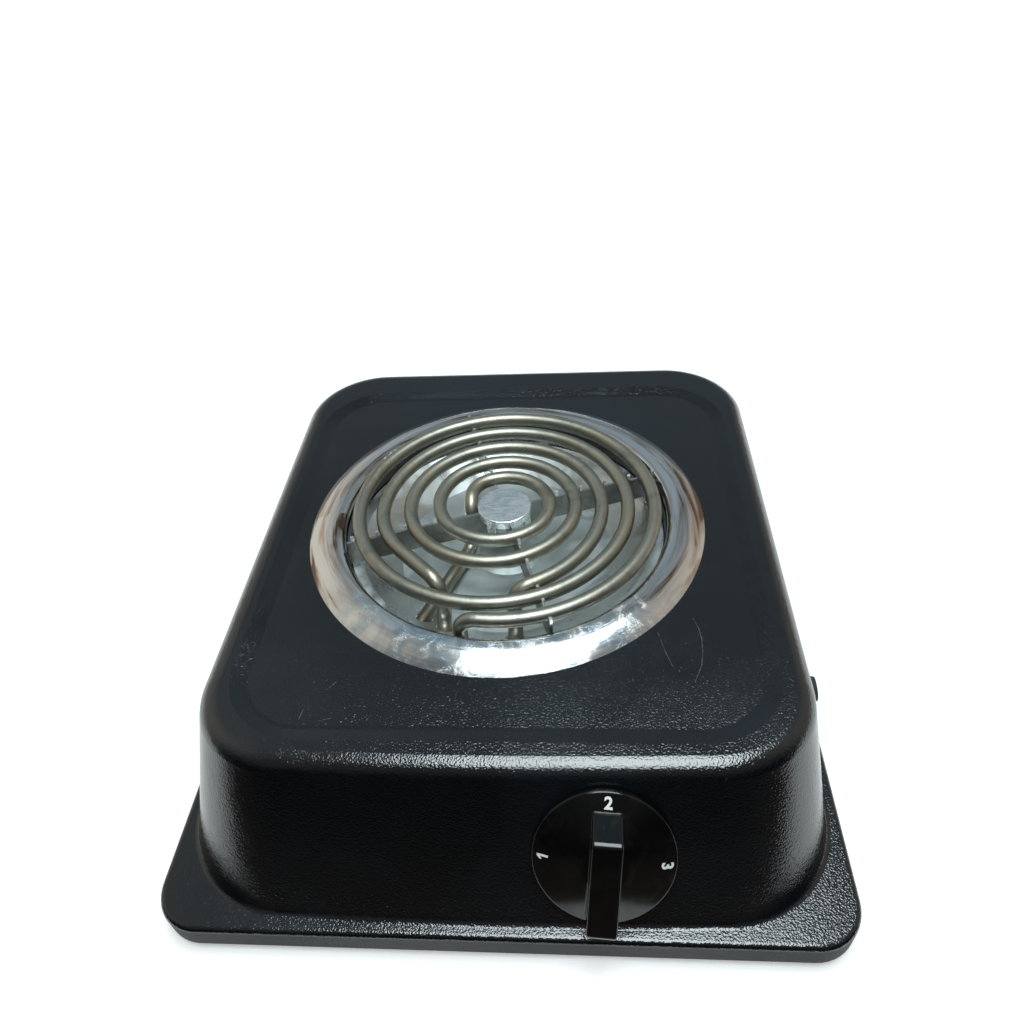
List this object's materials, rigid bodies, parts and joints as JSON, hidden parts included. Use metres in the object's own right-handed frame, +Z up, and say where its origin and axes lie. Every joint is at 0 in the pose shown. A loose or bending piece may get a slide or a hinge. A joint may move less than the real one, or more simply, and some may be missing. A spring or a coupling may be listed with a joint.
{
  "type": "hot plate burner",
  "caption": "Single electric coil table stove: black pressed-steel housing with a sloped front, chrome-ringed coil burner over a reflector pan, and a front rotary heat knob.",
  "frame": {"origin": "on the table under the middle of the stove, knob included", "axes": "+X to the right seen from the knob side, +Y to the back, +Z up"},
  "size_m": [0.2664, 0.3172, 0.0785],
  "materials": {
    "arm_steel": "plain strip steel",
    "black_enamel": "glossy black baked enamel with a fine leather grain",
    "black_rubber": "matt black rubber",
    "brass": "plain brass",
    "bright_pan": "bright rolled sheet, slightly hazy",
    "cam_plastic": "natural moulded plastic",
    "cap_aluminium": "bright stamped cap",
    "ceramic": "off-white unglazed ceramic",
    "chrome_trim": "bright chrome plate, smudged and lightly scratched",
    "element_sheath": "drawn stainless sheath, satin grey with a warm tint",
    "knob_black": "glossy black moulded plastic",
    "phenolic": "brown moulded phenolic",
    "plated_steel": "zinc plated steel"
  },
  "bodies": {
    "housing": {"base_plate": "plated_steel", "block_screw_1": "brass", "block_screw_2": "brass", "block_screw_3": "brass", "centre_medallion": "cap_aluminium", "clamp_screw_1": "plated_steel", "clamp_screw_2": "plated_steel", "contact_spring_1": "brass", "contact_spring_2": "brass", "contact_spring_3": "brass", "cord_clamp": "phenolic", "cord_gland": "black_rubber", "corner_bracket_1": "plated_steel", "corner_bracket_2": "plated_steel", "corner_bracket_3": "plated_steel", "corner_bracket_4": "plated_steel", "earth_screw": "plated_steel", "earth_tag": "plated_steel", "end_bead_1": "ceramic", "end_bead_2": "ceramic", "end_bead_3": "ceramic", "end_bead_4": "ceramic", "foot_screw_1": "plated_steel", "foot_screw_2": "plated_steel", "foot_screw_3": "plated_steel", "foot_screw_4": "plated_steel", "housing_shell": "black_enamel", "inner_element": "element_sheath", "leg_bracket": "plated_steel", "leg_bracket_screw_1": "plated_steel", "leg_bracket_screw_2": "plated_steel", "mains_block": "ceramic", "outer_element": "element_sheath", "reflector_pan": "bright_pan", "rubber_foot_1": "black_rubber", "rubber_foot_2": "black_rubber", "rubber_foot_3": "black_rubber", "rubber_foot_4": "black_rubber", "support_arm_cross": "arm_steel", "support_arm_long": "arm_steel", "switch_body": "phenolic", "switch_cover": "phenolic", "switch_plate": "plated_steel", "switch_screw_1": "plated_steel", "switch_screw_2": "plated_steel", "switch_tab_1": "brass", "switch_tab_2": "brass", "switch_tab_3": "brass", "switch_tab_4": "brass", "terminal_pin_1": "plated_steel", "terminal_pin_2": "plated_steel", "terminal_pin_3": "plated_steel", "terminal_pin_4": "plated_steel", "trim_ring": "chrome_trim"},
    "knob": {"control_knob": "knob_black", "switch_shaft": "plated_steel", "switch_cam": "cam_plastic", "knob_clip": "plated_steel"}
  },
  "joints": [
    {"name": "knob_turn", "type": "hinge", "parent": "housing", "child": "knob", "pos_m": [0.0391, -0.13278, 0.04204], "axis": [0, -0.8541, 0.5202], "continuous": true}
  ]
}
